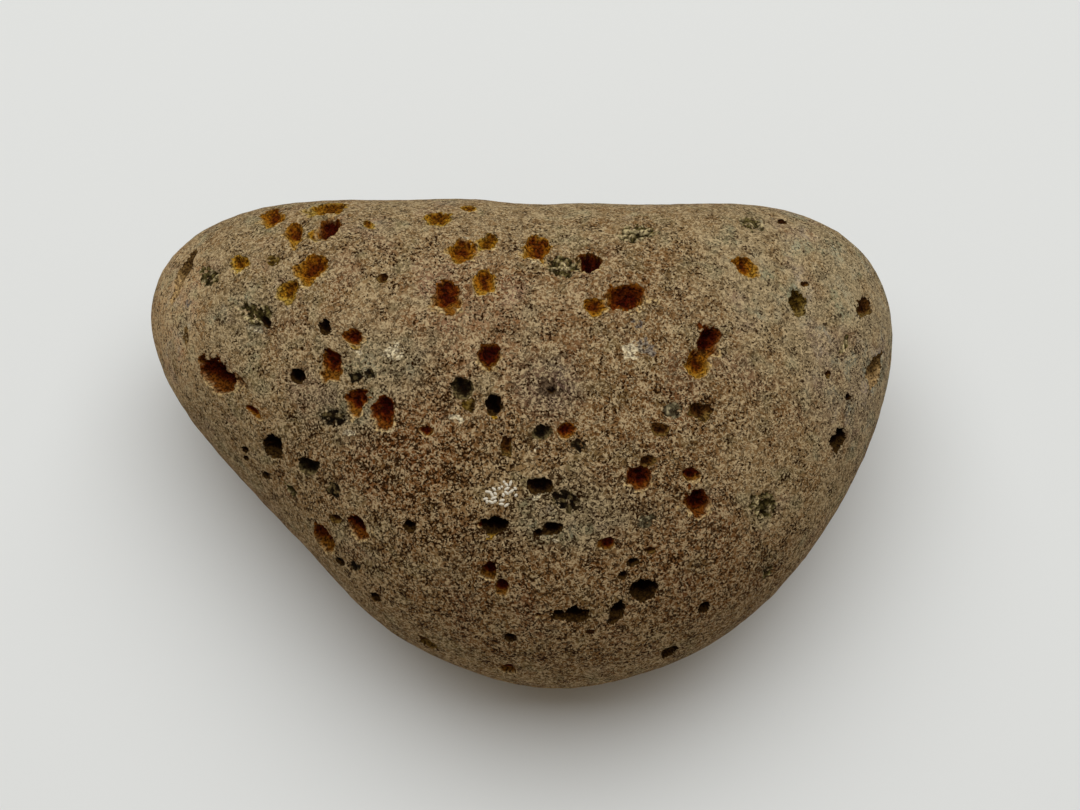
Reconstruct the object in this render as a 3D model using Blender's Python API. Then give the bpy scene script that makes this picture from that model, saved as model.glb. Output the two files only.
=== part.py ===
"""A river pebble: one worn piece of vesicular lava, lying on its flattest side.

Metres, +Z up. The origin is at the bottom centre of the pebble's box, on the surface that it rests on.
X runs along its length and Y away from whoever looks at it. Lengths below are in millimetres.
"""

import math
import random
from collections import namedtuple

import bmesh
import bpy
import numpy as np
from mathutils import Matrix, Vector, noise
from mathutils.bvhtree import BVHTree

MM = 0.001

# Driving sizes of the worn body: its length, its height above the waist and its depth below it,
# what the flat that it rests on has lost of that depth, and how softly that flat begins
LENGTH = 75.0
CROWN = 19.0
KEEL = 16.2
WORN_AWAY = 1.2
WORN_EDGE = 0.4

# The outline of the waist, its widest level, seen from straight above, counter-clockwise from the right
# end. The whole of it is drawn out to the length above
OUTLINE = (
    (37.5, 11.5), (36.7, 17.3), (34.2, 20.4), (29.8, 23.3), (25.3, 24.2), (19.3, 24.6), (11.6, 24.4),
    (5.7, 24.4), (-2.1, 24.7), (-8.0, 24.9), (-15.7, 25.0), (-21.8, 24.9), (-27.4, 24.1), (-31.4, 23.2),
    (-35.8, 20.8), (-37.5, 17.6), (-37.8, 13.0), (-36.7, 8.4), (-34.6, 4.0), (-30.7, -0.4), (-25.6, -5.9),
    (-20.6, -11.4), (-15.2, -16.8), (-7.4, -21.6), (-2.3, -23.1), (2.7, -24.3), (7.4, -23.8), (16.0, -21.0),
    (21.4, -18.1), (26.9, -12.9), (32.3, -5.4), (35.8, 2.3),
)  # fmt: skip
POLE = Vector((1.0, 3.0))
OUTLINE_WAVES = 9

# How full the dome and the underside are: 2 is an ellipsoid, more is boxier
DOME_FULLNESS = 2.25
UNDERSIDE_FULLNESS = 2.4
LUMP_HEIGHT = 0.35
LUMP_SIZE = 17.0
BODY_CUTS = 15

# The picture that the pits were read from, the size of one pixel where it is sharpest, the eye, and where
# the picture's centre lies to the right of the waist's middle and above it as seen
WAIST = KEEL - WORN_AWAY
PICTURE_PIXELS = (1080, 810)
PIXEL = 0.1
PICTURE_CENTRE = (2.0, 3.7)
EYE_ELEVATION = math.radians(70.0)
EYE_DISTANCE = 185.0

# Pits: where the middle of each is seen, its length, width and depth in millimetres,
# and the turn of its length from level, counter-clockwise in degrees as seen
Pit = namedtuple("Pit", "px py long wide deep turn")
SEEN_PITS = (
    Pit(px=272, py=217, long=2.4, wide=2.0, deep=0.7, turn=20),
    Pit(px=328, py=209, long=4.0, wide=1.8, deep=0.6, turn=12),
    Pit(px=294, py=233, long=1.9, wide=1.8, deep=1.0, turn=0),
    Pit(px=329, py=228, long=2.3, wide=1.9, deep=1.3, turn=35),
    Pit(px=184, py=273, long=5.2, wide=1.5, deep=0.5, turn=64),
    Pit(px=310, py=270, long=2.7, wide=2.5, deep=0.9, turn=60),
    Pit(px=288, py=291, long=2.3, wide=1.8, deep=0.7, turn=50),
    Pit(px=239, py=263, long=1.9, wide=1.4, deep=0.6, turn=-15),
    Pit(px=217, py=376, long=4.4, wide=2.7, deep=2.0, turn=-38),
    Pit(px=352, py=337, long=1.9, wide=1.3, deep=0.8, turn=-25),
    Pit(px=332, py=365, long=2.7, wide=1.9, deep=0.9, turn=80),
    Pit(px=298, py=376, long=1.5, wide=1.3, deep=0.8, turn=0),
    Pit(px=355, py=403, long=2.3, wide=1.7, deep=0.8, turn=-65),
    Pit(px=384, py=413, long=2.7, wide=1.9, deep=0.8, turn=-75),
    Pit(px=273, py=447, long=2.3, wide=1.9, deep=1.5, turn=-60),
    Pit(px=309, py=468, long=2.0, wide=1.4, deep=0.6, turn=-10),
    Pit(px=358, py=527, long=2.6, wide=1.6, deep=1.0, turn=-60),
    Pit(px=324, py=540, long=2.8, wide=1.8, deep=1.2, turn=-60),
    Pit(px=409, py=526, long=1.2, wide=1.1, deep=0.8, turn=0),
    Pit(px=446, py=297, long=2.8, wide=2.2, deep=0.9, turn=85),
    Pit(px=464, py=250, long=2.8, wide=2.0, deep=0.9, turn=0),
    Pit(px=487, py=242, long=1.9, wide=1.3, deep=0.7, turn=35),
    Pit(px=438, py=218, long=2.8, wide=1.5, deep=0.5, turn=3),
    Pit(px=484, py=281, long=2.5, wide=2.1, deep=0.7, turn=-60),
    Pit(px=488, py=356, long=2.2, wide=2.0, deep=0.9, turn=0),
    Pit(px=537, py=249, long=2.6, wide=2.0, deep=0.8, turn=10),
    Pit(px=590, py=263, long=1.9, wide=1.7, deep=1.5, turn=0),
    Pit(px=594, py=307, long=1.9, wide=1.6, deep=0.7, turn=-10),
    Pit(px=627, py=296, long=3.7, wide=2.2, deep=1.6, turn=-8),
    Pit(px=745, py=267, long=2.4, wide=1.5, deep=0.8, turn=-42),
    Pit(px=798, py=302, long=2.2, wide=1.5, deep=0.9, turn=-75),
    Pit(px=864, py=308, long=1.7, wide=1.5, deep=0.6, turn=75),
    Pit(px=875, py=371, long=3.2, wide=1.8, deep=0.6, turn=75),
    Pit(px=839, py=440, long=2.2, wide=1.2, deep=1.2, turn=62),
    Pit(px=708, py=340, long=2.7, wide=2.0, deep=1.6, turn=75),
    Pit(px=699, py=363, long=2.5, wide=2.1, deep=1.1, turn=70),
    Pit(px=700, py=411, long=2.2, wide=1.6, deep=0.6, turn=-20),
    Pit(px=565, py=431, long=1.3, wide=1.1, deep=0.6, turn=0),
    Pit(px=542, py=433, long=1.8, wide=1.3, deep=0.5, turn=20),
    Pit(px=494, py=405, long=1.7, wide=1.5, deep=1.5, turn=80),
    Pit(px=462, py=388, long=2.1, wide=1.9, deep=0.6, turn=0),
    Pit(px=539, py=486, long=2.2, wide=1.2, deep=0.7, turn=0),
    Pit(px=497, py=526, long=2.1, wide=1.6, deep=1.4, turn=-5),
    Pit(px=551, py=529, long=1.4, wide=1.2, deep=0.8, turn=0),
    Pit(px=640, py=478, long=2.5, wide=2.1, deep=1.0, turn=75),
    Pit(px=648, py=461, long=1.5, wide=1.1, deep=0.7, turn=10),
    Pit(px=698, py=503, long=2.7, wide=2.2, deep=1.4, turn=-60),
    Pit(px=644, py=592, long=2.6, wide=2.2, deep=1.8, turn=-20),
    Pit(px=618, py=612, long=1.8, wide=1.5, deep=1.0, turn=60),
    Pit(px=576, py=616, long=2.4, wide=1.4, deep=1.0, turn=0),
    Pit(px=703, py=608, long=1.2, wide=1.1, deep=0.9, turn=60),
    Pit(px=669, py=652, long=1.9, wide=1.4, deep=0.8, turn=30),
    Pit(px=488, py=571, long=1.6, wide=1.3, deep=0.9, turn=75),
    Pit(px=428, py=643, long=2.2, wide=1.1, deep=0.5, turn=-40),
)

# Pits on the far side and the underside, which the picture doesn't show: how many places are tried, how
# high they start as a share of a ball's radius, how little such a place may face the eye, how far it must
# be from other pits, their length, breadth and depth, and the middle of the resting flat, which is left whole
HIDDEN_TRIES = 420
HIDDEN_SEED = 11
HIDDEN_TOP = 0.5
HIDDEN_FACING = 0.12
HIDDEN_SPACING = (6.5, 11.0)
HIDDEN_LENGTH = (1.3, 3.2)
HIDDEN_BREADTH_SHARE = (0.6, 0.95)
HIDDEN_DEPTH_SHARE = (0.35, 0.7)
REST_PATCH = 11.0

# A pit is a ball sunk this share of its depth below the skin, so that its rim is steep, and roughened by
# this much, with bumps this fine, and each ball differently
PIT_SINK = 0.25
PIT_ROUGHNESS = 0.16
PIT_FINENESS = 1.4
NEXT_PIT = Vector((5.3, 0, 0))
BIG_PIT = 2.6


def outline_reach():
    """The outline as a function: its distance from the pole against the direction from it."""
    points = np.array(OUTLINE) - np.array(POLE)
    waves = np.arange(1, OUTLINE_WAVES + 1)

    def terms(turn):
        turning = np.asarray(turn)[:, None] * waves
        return np.hstack([np.ones((len(turning), 1)), np.cos(turning), np.sin(turning)])

    turns = np.arctan2(points[:, 1], points[:, 0])
    weights = np.linalg.lstsq(terms(turns), np.hypot(*points.T), rcond=None)[0]
    return lambda turn: terms(turn) @ weights


def skin(directions):
    """The worn surface without its pits, one point for each direction out of the middle of the waist."""
    x, y, z = directions.T
    level = np.hypot(x, y)
    fullness = np.where(z > 0, DOME_FULLNESS, UNDERSIDE_FULLNESS)
    spread = level ** (2 / fullness) * outline_reach()(np.arctan2(y, x))
    rise = np.abs(z) ** (2 / fullness) * np.where(z > 0, CROWN, -KEEL)
    flat = np.maximum(level, 1e-9)
    points = np.column_stack([POLE.x + spread * x / flat, POLE.y + spread * y / flat, rise])
    lumps = [noise.noise(Vector(point) / LUMP_SIZE) for point in points]
    points += directions * LUMP_HEIGHT * np.array(lumps)[:, None]
    points[:, 2] = worn_flat(points[:, 2] + WAIST)
    return points


def worn_flat(height):
    """Heights with what is below the resting level worn off flat, and a soft edge to the flat."""
    soft = (height + WORN_EDGE) ** 2 / (4 * WORN_EDGE)
    return np.where(height > WORN_EDGE, height, np.where(height > -WORN_EDGE, soft, 0.0))


def evened(point):
    """A point of the cube moved along its face, so that the ball made of it has faces of one size."""
    return Vector(math.tan(side * math.pi / 4) for side in point)


def make_body():
    """The body's mesh, centred over the origin and drawn out to its length."""
    mesh = bmesh.new()
    bmesh.ops.create_cube(mesh, size=2.0)
    bmesh.ops.subdivide_edges(mesh, edges=mesh.edges, cuts=BODY_CUTS, use_grid_fill=True)
    points = skin(np.array([evened(vertex.co).normalized() for vertex in mesh.verts]))
    middle = (points.min(axis=0) + points.max(axis=0)) / 2
    to_length = LENGTH / np.ptp(points[:, 0])
    points = (points - (middle[0], middle[1], 0.0)) * (to_length, to_length, 1.0)
    for vertex, point in zip(mesh.verts, points):
        vertex.co = point
    bmesh.ops.recalc_face_normals(mesh, faces=mesh.faces)
    return mesh


def sight_axes():
    """Right, up and towards the eye, as unit vectors, and the point that the picture's centre looks at."""
    right = Vector((1, 0, 0))
    up = Vector((0, math.sin(EYE_ELEVATION), math.cos(EYE_ELEVATION)))
    back = Vector((0, -math.cos(EYE_ELEVATION), math.sin(EYE_ELEVATION)))
    aim = Vector((0, 0, WAIST)) + PICTURE_CENTRE[0] * right + PICTURE_CENTRE[1] * up
    return right, up, back, aim


def seen_at(tree, px, py):
    """The point of the skin that is seen at a pixel of the picture, and its outward normal."""
    right, up, back, aim = sight_axes()
    eye = aim + EYE_DISTANCE * back
    across = (px - PICTURE_PIXELS[0] / 2) * PIXEL
    upward = (PICTURE_PIXELS[1] / 2 - py) * PIXEL
    on_plane = aim + across * right + upward * up
    point, normal, *_ = tree.ray_cast(eye, on_plane - eye)
    return point, normal


def along(turn, normal):
    """The direction on the skin that is seen at this turn from level."""
    right, up, *_ = sight_axes()
    seen = math.cos(math.radians(turn)) * right + math.sin(math.radians(turn)) * up
    return (seen - seen.dot(normal) * normal).normalized()


def hidden_pits(tree):
    """Places and sizes of the pits that face away from the eye, spread evenly over the skin."""
    draw = random.Random(HIDDEN_SEED)
    middle = Vector((POLE.x, POLE.y, WAIST))
    back = sight_axes()[2]
    taken = [seen_at(tree, pit.px, pit.py)[0] for pit in SEEN_PITS]
    for _ in range(HIDDEN_TRIES):
        rise = draw.uniform(-1, HIDDEN_TOP)
        turn = draw.uniform(0, math.tau)
        level = math.sqrt(1 - rise * rise)
        way = Vector((level * math.cos(turn), level * math.sin(turn), rise))
        point, normal, *_ = tree.ray_cast(middle, way)
        long = draw.uniform(*HIDDEN_LENGTH)
        wide = long * draw.uniform(*HIDDEN_BREADTH_SHARE)
        deep = wide * draw.uniform(*HIDDEN_DEPTH_SHARE)
        spin = draw.uniform(0, 180)
        crowded = min((point - other).length for other in taken) < draw.uniform(*HIDDEN_SPACING)
        at_rest = point.z < WAIST and Vector((point.x, point.y)).length < REST_PATCH
        if normal.dot(back) < HIDDEN_FACING and not crowded and not at_rest:
            taken.append(point)
            yield point, normal, Pit(px=None, py=None, long=long, wide=wide, deep=deep, turn=spin)


def pit_cutter(number, point, normal, pit):
    """A roughened ball that cuts one pit."""
    long_way = along(pit.turn, normal)
    axes = Matrix((long_way, normal.cross(long_way), normal)).transposed().to_4x4()
    half_sizes = Vector((pit.long / 2, pit.wide / 2, pit.deep * (1 - PIT_SINK)))
    mesh = bmesh.new()
    around, rings = (10, 6) if pit.long > BIG_PIT else (7, 4)
    bmesh.ops.create_uvsphere(mesh, u_segments=around, v_segments=rings, radius=1.0)
    for vertex in mesh.verts:
        rough = 1 + PIT_ROUGHNESS * noise.noise(vertex.co * PIT_FINENESS + number * NEXT_PIT)
        vertex.co = Vector(a * b for a, b in zip(vertex.co * rough, half_sizes))
    mesh.transform(Matrix.Translation(point - pit.deep * PIT_SINK * normal) @ axes)
    cutter = new_object(f"pit_cutter_{number:02d}", mesh)
    cutter.hide_render = True
    cutter.display_type = "WIRE"
    return cutter


def new_object(name, mesh):
    """An object of this mesh, turned from millimetres to metres."""
    mesh.transform(Matrix.Scale(MM, 4))
    data = bpy.data.meshes.new(name)
    mesh.to_mesh(data)
    mesh.free()
    made = bpy.data.objects.new(name, data)
    bpy.context.scene.collection.objects.link(made)
    return made


def stone_material():
    """Grey-brown lava, dull from wear."""
    material = bpy.data.materials.new("lava")
    material.use_nodes = True
    shader = material.node_tree.nodes["Principled BSDF"]
    shader.inputs["Base Color"].default_value = (0.22, 0.165, 0.095, 1.0)
    shader.inputs["Roughness"].default_value = 0.8
    shader.inputs["Metallic"].default_value = 0.0
    return material


def make_pebble():
    """The body with every pit cut out of it."""
    body = make_body()
    tree = BVHTree.FromBMesh(body)
    placed = [(*seen_at(tree, pit.px, pit.py), pit) for pit in SEEN_PITS] + list(hidden_pits(tree))
    pebble = new_object("pebble", body)
    cutters = bpy.data.collections.new("pit_cutters")
    bpy.context.scene.collection.children.link(cutters)
    for number, (point, normal, pit) in enumerate(placed):
        cutter = pit_cutter(number, point, normal, pit)
        bpy.context.scene.collection.objects.unlink(cutter)
        cutters.objects.link(cutter)
    pits = pebble.modifiers.new("pits", "BOOLEAN")
    pits.operation = "DIFFERENCE"
    pits.operand_type = "COLLECTION"
    pits.collection = cutters
    pebble.data.materials.append(stone_material())
    pebble.data.shade_smooth()
    return pebble


for left_over in list(bpy.data.objects):
    bpy.data.objects.remove(left_over)
make_pebble()
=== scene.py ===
"""The look of a river pebble of worn vesicular lava, in place of its plain solid.

The stone's skin is made again from the solid's own formulas, much finer, and then carved: pits with rusty
linings darkened by painted shade towards their floors and far walls, pits lined black with painted shade,
shallow scars of dark crystals, and the roughness of the grain. Metres, +Z up, in the solid's frame. X runs
along the pebble and Y away from the camera. Lengths named here are in millimetres.
"""

import math
import random
from collections import namedtuple

import bmesh
import bpy
import numpy as np
from mathutils import Matrix, Vector, noise
from mathutils.bvhtree import BVHTree


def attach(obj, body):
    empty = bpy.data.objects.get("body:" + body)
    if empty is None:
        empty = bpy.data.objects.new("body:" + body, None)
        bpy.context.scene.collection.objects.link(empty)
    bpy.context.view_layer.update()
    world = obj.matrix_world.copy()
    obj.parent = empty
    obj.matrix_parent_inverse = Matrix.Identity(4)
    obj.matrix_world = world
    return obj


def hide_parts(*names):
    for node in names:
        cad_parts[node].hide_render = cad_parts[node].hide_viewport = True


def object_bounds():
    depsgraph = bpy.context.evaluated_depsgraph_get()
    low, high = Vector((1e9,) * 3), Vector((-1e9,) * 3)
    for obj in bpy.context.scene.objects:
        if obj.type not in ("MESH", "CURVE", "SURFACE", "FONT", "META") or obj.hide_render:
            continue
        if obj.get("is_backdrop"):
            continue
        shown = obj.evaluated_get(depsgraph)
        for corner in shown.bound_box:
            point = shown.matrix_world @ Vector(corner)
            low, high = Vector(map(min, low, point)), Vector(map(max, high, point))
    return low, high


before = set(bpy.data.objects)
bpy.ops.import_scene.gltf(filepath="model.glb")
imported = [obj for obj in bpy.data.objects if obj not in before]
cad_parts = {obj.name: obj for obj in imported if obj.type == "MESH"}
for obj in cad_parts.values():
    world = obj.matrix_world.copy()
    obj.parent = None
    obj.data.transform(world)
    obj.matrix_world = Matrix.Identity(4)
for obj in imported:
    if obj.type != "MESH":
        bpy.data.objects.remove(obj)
cad_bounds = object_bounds()

MM = 0.001

# The least that each of these counts as where it divides: a distance, a facing of the eye, a lining's cover
TINY = 1e-9
LEAST_FACING = 0.01
LEAST_COVER = 1e-6

# The worn body, as the solid has it
LENGTH = 75.0
CROWN = 19.0
KEEL = 16.2
WORN_AWAY = 1.2
WORN_EDGE = 0.4
WAIST = KEEL - WORN_AWAY
OUTLINE = (
    (37.5, 11.5), (36.7, 17.3), (34.2, 20.4), (29.8, 23.3), (25.3, 24.2), (19.3, 24.6), (11.6, 24.4),
    (5.7, 24.4), (-2.1, 24.7), (-8.0, 24.9), (-15.7, 25.0), (-21.8, 24.9), (-27.4, 24.1), (-31.4, 23.2),
    (-35.8, 20.8), (-37.5, 17.6), (-37.8, 13.0), (-36.7, 8.4), (-34.6, 4.0), (-30.7, -0.4), (-25.6, -5.9),
    (-20.6, -11.4), (-15.2, -16.8), (-7.4, -21.6), (-2.3, -23.1), (2.7, -24.3), (7.4, -23.8), (16.0, -21.0),
    (21.4, -18.1), (26.9, -12.9), (32.3, -5.4), (35.8, 2.3),
)  # fmt: skip
POLE = Vector((1.0, 3.0))
OUTLINE_WAVES = 9
DOME_FULLNESS = 2.25
UNDERSIDE_FULLNESS = 2.4
LUMP_HEIGHT = 0.35
LUMP_SIZE = 17.0
BODY_CUTS = 15

# The picture that the marks were read from: its size, how much a pixel spans at the waist, which place there
# its centre looks at, and where the eye is
PICTURE_PIXELS = (1080, 810)
PIXEL = 0.1
PICTURE_CENTRE = (2.0, 3.7)
EYE_ELEVATION = math.radians(70.0)
EYE_DISTANCE = 185.0

# How fine the skin is: cuts across each face of the ball that it starts from, how far round each mark it is
# halved, and how far round each pit it is halved again
FINE_CUTS = 70
ROUND_MARKS = 0.7
ROUND_PITS = 0.25

# The grain's relief on the open skin: height and size of each layer
RELIEF = ((0.05, 2.6), (0.06, 1.1))

# What lines a mark: colours round its rim, on its wall and on its floor, and the shares of its depth over
# which the rim's colour turns into the wall's and the wall's into the floor's. The darker walls and floors
# are partly the lining's own rust or crystal colour and partly painted shade in the hollow; the black lining
# is all painted shade
Lining = namedtuple("Lining", "rim wall floor")


def plain(colour):
    """A lining of one colour."""
    return Lining(colour, colour, colour)


LININGS = {
    "rust": Lining(rim=(0.17, 0.068, 0.007), wall=(0.115, 0.024, 0.0015), floor=(0.035, 0.003, 0.0004)),
    "red": Lining(rim=(0.125, 0.038, 0.004), wall=(0.08, 0.012, 0.0008), floor=(0.022, 0.0015, 0.0004)),
    "amber": Lining(rim=(0.26, 0.135, 0.014), wall=(0.21, 0.08, 0.004), floor=(0.07, 0.014, 0.0008)),
    "gold": Lining(rim=(0.26, 0.17, 0.03), wall=(0.24, 0.115, 0.007), floor=(0.1, 0.035, 0.0018)),
    "maroon": Lining(rim=(0.11, 0.045, 0.005), wall=(0.055, 0.007, 0.0006), floor=(0.018, 0.001, 0.0004)),
    "brown": Lining(rim=(0.11, 0.065, 0.015), wall=(0.06, 0.024, 0.004), floor=(0.02, 0.006, 0.001)),
    # Painted shade: the black lining stands in for the shade deep inside a pit
    "painted_shade_black": Lining(rim=(0.036, 0.018, 0.004), wall=(0.007, 0.0025, 0.0008), floor=(0.0015, 0.0006, 0.0004)),
    "tan": Lining(rim=(0.3, 0.2, 0.085), wall=(0.17, 0.105, 0.036), floor=(0.08, 0.045, 0.013)),
    "olive": Lining(rim=(0.14, 0.095, 0.025), wall=(0.09, 0.055, 0.008), floor=(0.03, 0.016, 0.002)),
    "crystal": Lining(rim=(0.1, 0.075, 0.03), wall=(0.012, 0.008, 0.003), floor=(0.003, 0.002, 0.001)),
    "green": Lining(rim=(0.42, 0.345, 0.18), wall=(0.1, 0.08, 0.025), floor=(0.02, 0.015, 0.004)),
    "grey": Lining(rim=(0.26, 0.225, 0.13), wall=(0.08, 0.068, 0.036), floor=(0.03, 0.022, 0.01)),
    "cream": plain((0.45, 0.39, 0.25)),
    "ochre": plain((0.28, 0.16, 0.015)),
    "blue": plain((0.15, 0.125, 0.095)),
    "dusk": plain((0.075, 0.05, 0.028)),
}
WALL_DEPTH = (0.05, 0.3)
FLOOR_DEPTH = (0.35, 0.85)
RUSTY = ("rust", "red", "amber", "gold", "maroon")

# Marks: where the middle of each is seen, its length and width, what lines it, its depth, and the turn of
# its length from level, counter-clockwise in degrees as seen
Mark = namedtuple("Mark", "px py long wide lining deep turn", defaults=(0, 0))

# The pits that the solid has too
BIG_PITS = (
    Mark(px=272, py=217, long=2.4, wide=2, deep=0.7, turn=20, lining="amber"),
    Mark(px=328, py=209, long=4, wide=1.8, deep=0.6, turn=12, lining="gold"),
    Mark(px=294, py=233, long=1.9, wide=1.8, deep=1, lining="amber"),
    Mark(px=329, py=228, long=2.3, wide=1.9, deep=1.3, turn=35, lining="rust"),
    Mark(px=184, py=273, long=5.2, wide=1.1, deep=0.4, turn=64, lining="tan"),
    Mark(px=310, py=270, long=2.7, wide=2.5, deep=0.9, turn=60, lining="amber"),
    Mark(px=288, py=291, long=2.3, wide=1.8, deep=0.7, turn=50, lining="gold"),
    Mark(px=239, py=263, long=1.9, wide=1.4, deep=0.6, turn=-15, lining="gold"),
    Mark(px=217, py=376, long=4.4, wide=2.7, deep=2, turn=-38, lining="red"),
    Mark(px=352, py=337, long=1.9, wide=1.3, deep=0.8, turn=-25, lining="rust"),
    Mark(px=332, py=365, long=2.7, wide=1.9, deep=0.9, turn=80, lining="rust"),
    Mark(px=298, py=376, long=1.5, wide=1.3, deep=0.8, lining="painted_shade_black"),
    Mark(px=355, py=403, long=2.3, wide=1.7, deep=0.8, turn=-65, lining="rust"),
    Mark(px=384, py=413, long=2.7, wide=1.9, deep=0.8, turn=-75, lining="red"),
    Mark(px=273, py=447, long=2.3, wide=1.9, deep=1.5, turn=-60, lining="painted_shade_black"),
    Mark(px=309, py=468, long=2, wide=1.4, deep=0.6, turn=-10, lining="crystal"),
    Mark(px=358, py=527, long=2.6, wide=1.6, deep=1, turn=-60, lining="red"),
    Mark(px=324, py=540, long=2.8, wide=1.8, deep=1.2, turn=-60, lining="rust"),
    Mark(px=409, py=526, long=1.2, wide=1.1, deep=0.8, lining="painted_shade_black"),
    Mark(px=446, py=297, long=2.8, wide=2.2, deep=0.9, turn=85, lining="rust"),
    Mark(px=464, py=250, long=2.8, wide=2, deep=0.9, lining="amber"),
    Mark(px=487, py=242, long=1.9, wide=1.3, deep=0.7, turn=35, lining="gold"),
    Mark(px=438, py=218, long=2.8, wide=1.5, deep=0.5, turn=3, lining="gold"),
    Mark(px=484, py=281, long=2.5, wide=2.1, deep=0.7, turn=-60, lining="amber"),
    Mark(px=488, py=356, long=2.2, wide=2, deep=0.9, lining="maroon"),
    Mark(px=537, py=249, long=2.6, wide=2, deep=0.8, turn=10, lining="amber"),
    Mark(px=590, py=263, long=1.9, wide=1.7, deep=1.5, lining="maroon"),
    Mark(px=594, py=307, long=1.9, wide=1.6, deep=0.7, turn=-10, lining="amber"),
    Mark(px=627, py=296, long=3.7, wide=2.2, deep=1.6, turn=-8, lining="rust"),
    Mark(px=745, py=267, long=2.4, wide=1.5, deep=0.8, turn=-42, lining="amber"),
    Mark(px=798, py=302, long=2.2, wide=1.5, deep=0.9, turn=-75, lining="olive"),
    Mark(px=864, py=308, long=1.7, wide=1.5, deep=0.6, turn=75, lining="brown"),
    Mark(px=875, py=371, long=3.2, wide=1.5, deep=0.6, turn=75, lining="tan"),
    Mark(px=839, py=440, long=2.2, wide=1.2, deep=1.2, turn=62, lining="painted_shade_black"),
    Mark(px=708, py=340, long=2.7, wide=2, deep=1.6, turn=75, lining="red"),
    Mark(px=699, py=363, long=2.5, wide=2.1, deep=1.1, turn=70, lining="amber"),
    Mark(px=700, py=411, long=2.2, wide=1.6, deep=0.6, turn=-20, lining="brown"),
    Mark(px=565, py=431, long=1.3, wide=1.1, deep=0.6, lining="rust"),
    Mark(px=542, py=433, long=1.8, wide=1.3, deep=0.5, turn=20, lining="crystal"),
    Mark(px=494, py=405, long=1.7, wide=1.5, deep=1.5, turn=80, lining="painted_shade_black"),
    Mark(px=462, py=388, long=2.1, wide=1.9, deep=0.6, lining="crystal"),
    Mark(px=539, py=486, long=2.2, wide=1.2, deep=0.7, lining="painted_shade_black"),
    Mark(px=497, py=526, long=2.1, wide=1.6, deep=1.4, turn=-5, lining="painted_shade_black"),
    Mark(px=551, py=529, long=1.4, wide=1.2, deep=0.8, lining="painted_shade_black"),
    Mark(px=640, py=478, long=2.5, wide=2.1, deep=1, turn=75, lining="red"),
    Mark(px=648, py=461, long=1.5, wide=1.1, deep=0.7, turn=10, lining="brown"),
    Mark(px=698, py=503, long=2.7, wide=2.2, deep=1.4, turn=-60, lining="red"),
    Mark(px=644, py=592, long=2.6, wide=2.2, deep=1.8, turn=-20, lining="painted_shade_black"),
    Mark(px=618, py=612, long=1.8, wide=1.5, deep=1, turn=60, lining="painted_shade_black"),
    Mark(px=576, py=616, long=2.4, wide=1.4, deep=1, lining="painted_shade_black"),
    Mark(px=703, py=608, long=1.2, wide=1.1, deep=0.9, turn=60, lining="painted_shade_black"),
    Mark(px=669, py=652, long=1.9, wide=1.4, deep=0.8, turn=30, lining="painted_shade_black"),
    Mark(px=488, py=571, long=1.6, wide=1.3, deep=0.9, turn=75, lining="maroon"),
    Mark(px=428, py=643, long=2.2, wide=1.1, deep=0.5, turn=-40, lining="brown"),
)

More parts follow.
